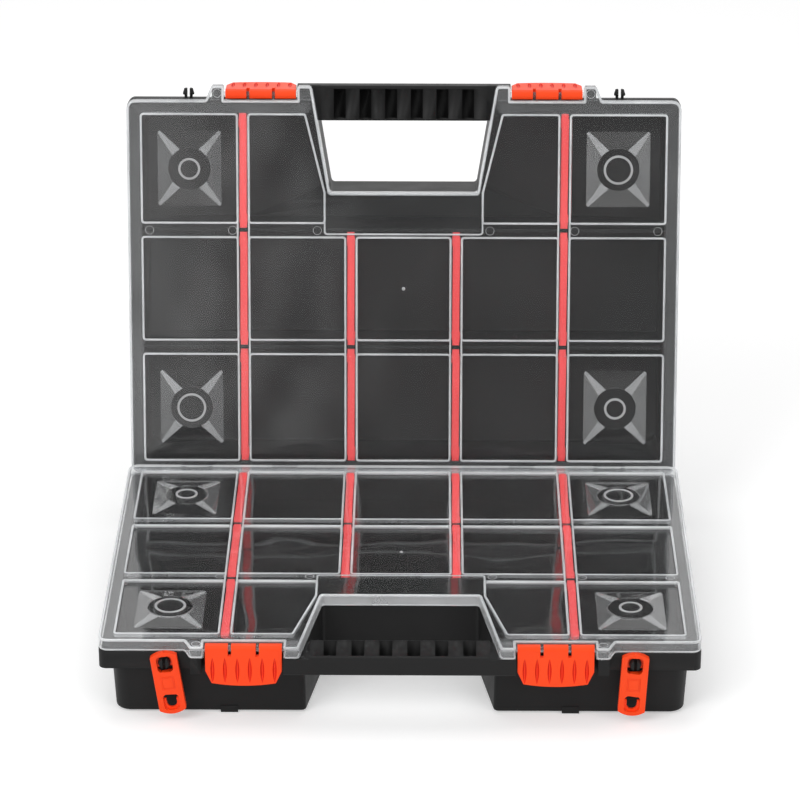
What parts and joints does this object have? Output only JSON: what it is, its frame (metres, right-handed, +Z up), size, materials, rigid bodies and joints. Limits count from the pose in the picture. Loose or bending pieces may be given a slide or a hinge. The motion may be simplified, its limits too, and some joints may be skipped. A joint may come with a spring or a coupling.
{
  "type": "double-sided organizer box",
  "caption": "Carry case of two shallow compartment trays with clear latched lids, hinged back to back edges so the lids face each other when closed.",
  "frame": {"origin": "on the floor under the middle of the lower tray's body", "axes": "+Z up, the handles and latches face -Y, the case hinge is at +Y, +X to the right seen from the handles"},
  "size_m": [0.345, 0.3569, 0.2811],
  "materials": {
    "tray": "satin",
    "clear_lid": "clear, slightly hazy",
    "divider": "satin",
    "latch": "satin"
  },
  "bodies": {
    "lower_tray": {"lower_tray": "tray", "lower_divider_01": "divider", "lower_divider_02": "divider", "lower_divider_03": "divider", "lower_divider_04": "divider", "lower_divider_05": "divider", "lower_divider_06": "divider", "lower_divider_07": "divider", "lower_divider_08": "divider", "lower_divider_09": "divider", "lower_divider_10": "divider"},
    "hinge_links": {"hinge_link_left": "tray", "hinge_link_right": "tray"},
    "upper_tray": {"upper_tray": "tray", "upper_divider_01": "divider", "upper_divider_02": "divider", "upper_divider_03": "divider", "upper_divider_04": "divider", "upper_divider_05": "divider", "upper_divider_06": "divider", "upper_divider_07": "divider", "upper_divider_08": "divider", "upper_divider_09": "divider", "upper_divider_10": "divider"},
    "lower_lid": {"lower_lid": "clear_lid"},
    "upper_lid": {"upper_lid": "clear_lid"},
    "lower_latch_left": {"lower_latch_left": "latch"},
    "lower_latch_right": {"lower_latch_right": "latch"},
    "upper_latch_left": {"upper_latch_left": "latch"},
    "upper_latch_right": {"upper_latch_right": "latch"},
    "strap_left": {"strap_left": "latch"},
    "strap_right": {"strap_right": "latch"}
  },
  "joints": [
    {"name": "link_swing", "type": "hinge", "parent": "lower_tray", "child": "hinge_links", "pos_m": [0, 0.11775, 0.0377], "axis": [-1, 0, 0], "range_deg": [-90, 0]},
    {"name": "upper_half_swing", "type": "hinge", "parent": "hinge_links", "child": "upper_tray", "pos_m": [0, 0.14455, 0.0377], "axis": [-1, 0, 0], "range_deg": [-11.5, 78.5]},
    {"name": "lower_lid_swing", "type": "hinge", "parent": "lower_tray", "child": "lower_lid", "pos_m": [0, 0.1223, 0.0459], "axis": [-1, 0, 0], "range_deg": [0, 90]},
    {"name": "upper_lid_swing", "type": "hinge", "parent": "upper_tray", "child": "upper_lid", "pos_m": [0, 0.13561, 0.03488], "axis": [1, 0, 0], "range_deg": [0, 36]},
    {"name": "lower_latch_left_swing", "type": "hinge", "parent": "lower_lid", "child": "lower_latch_left", "pos_m": [0, -0.1226, 0.0469], "axis": [-1, 0, 0], "range_deg": [0, 100]},
    {"name": "upper_latch_left_swing", "type": "hinge", "parent": "upper_lid", "child": "upper_latch_left", "pos_m": [0, 0.18345, 0.27506], "axis": [1, 0, 0], "range_deg": [0, 100]},
    {"name": "lower_latch_right_swing", "type": "hinge", "parent": "lower_lid", "child": "lower_latch_right", "pos_m": [0, -0.1226, 0.0469], "axis": [-1, 0, 0], "range_deg": [0, 100]},
    {"name": "upper_latch_right_swing", "type": "hinge", "parent": "upper_lid", "child": "upper_latch_right", "pos_m": [0, 0.18345, 0.27506], "axis": [1, 0, 0], "range_deg": [0, 100]},
    {"name": "strap_left_swing", "type": "hinge", "parent": "lower_tray", "child": "strap_left", "pos_m": [-0.1345, -0.119, 0.0377], "axis": [0, 1, 0], "range_deg": [0, 188]},
    {"name": "strap_right_swing", "type": "hinge", "parent": "lower_tray", "child": "strap_right", "pos_m": [0.1345, -0.119, 0.0377], "axis": [0, -1, 0], "range_deg": [0, 183]}
  ]
}
